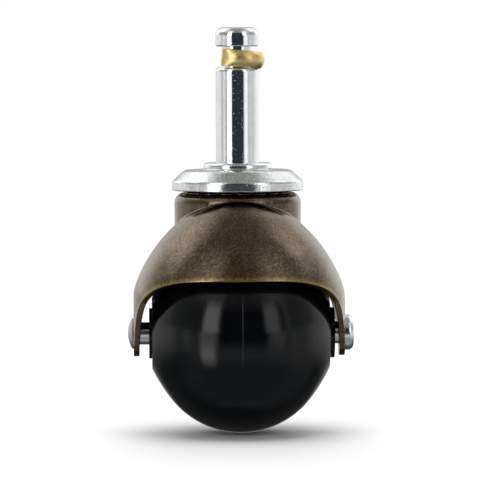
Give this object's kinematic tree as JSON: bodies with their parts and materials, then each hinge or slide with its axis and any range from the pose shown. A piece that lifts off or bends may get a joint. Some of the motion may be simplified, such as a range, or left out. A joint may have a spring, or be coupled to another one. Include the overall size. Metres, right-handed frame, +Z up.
{
  "type": "ball castor",
  "caption": "Furniture castor: a black ball wheel on a riveted axle in a pressed antique-brass hood, which swivels on a ball race under a zinc-plated grip-ring stem.",
  "frame": {"origin": "on the stem's axis, at the upper face of the collar, where the furniture leg rests", "axes": "+Z up along the stem; +X along the axle; the wheel stands forward of the stem, towards -Y"},
  "size_m": [0.0581, 0.0518, 0.1043],
  "materials": {
    "bright_zinc": "bright zinc plate, polished",
    "ring_brass": "bare brass strip, lightly worn",
    "satin_zinc": "satin zinc plate with faint mottling",
    "plain_steel": "plain steel",
    "antique_brass": "antique brass plate, dark satin, brassy along worn edges",
    "axle_zinc": "bright zinc plate",
    "black_moulding": "glossy black moulding",
    "bearing_steel": "polished steel"
  },
  "bodies": {
    "stem": {"stem": "bright_zinc", "bearing_cap": "satin_zinc", "retaining_washer": "plain_steel"},
    "grip_ring": {"grip_ring": "ring_brass"},
    "ball_race": {"bearing_ball_01": "bearing_steel", "bearing_ball_02": "bearing_steel", "bearing_ball_03": "bearing_steel", "bearing_ball_04": "bearing_steel", "bearing_ball_05": "bearing_steel", "bearing_ball_06": "bearing_steel", "bearing_ball_07": "bearing_steel", "bearing_ball_08": "bearing_steel", "bearing_ball_09": "bearing_steel", "bearing_ball_10": "bearing_steel", "bearing_ball_11": "bearing_steel", "bearing_ball_12": "bearing_steel", "bearing_ball_13": "bearing_steel", "bearing_ball_14": "bearing_steel", "bearing_ball_15": "bearing_steel", "bearing_ball_16": "bearing_steel", "bearing_ball_17": "bearing_steel"},
    "hood": {"hood": "antique_brass", "axle": "axle_zinc"},
    "wheel": {"ball_wheel": "black_moulding"}
  },
  "joints": [
    {"name": "swivel", "type": "hinge", "parent": "stem", "child": "hood", "pos_m": [0, 0, -0.00837], "axis": [0, 0, 1], "continuous": true},
    {"name": "wheel_roll", "type": "hinge", "parent": "hood", "child": "wheel", "pos_m": [0, -0.0091, -0.04357], "axis": [1, 0, 0], "continuous": true},
    {"name": "ball_race_turn", "type": "hinge", "parent": "stem", "child": "ball_race", "pos_m": [0, 0, -0.00598], "axis": [0, 0, 1], "continuous": true},
    {"name": "grip_ring_squeeze", "type": "slide", "parent": "stem", "child": "grip_ring", "axis": [-1, 0, 0], "range_m": [0, 0.0009], "stiffness_N_per_m": 300, "deforming": ["grip_ring"]}
  ],
  "couplings": [
    {"joint": "ball_race_turn", "follows": "swivel", "ratio": 0.5}
  ]
}
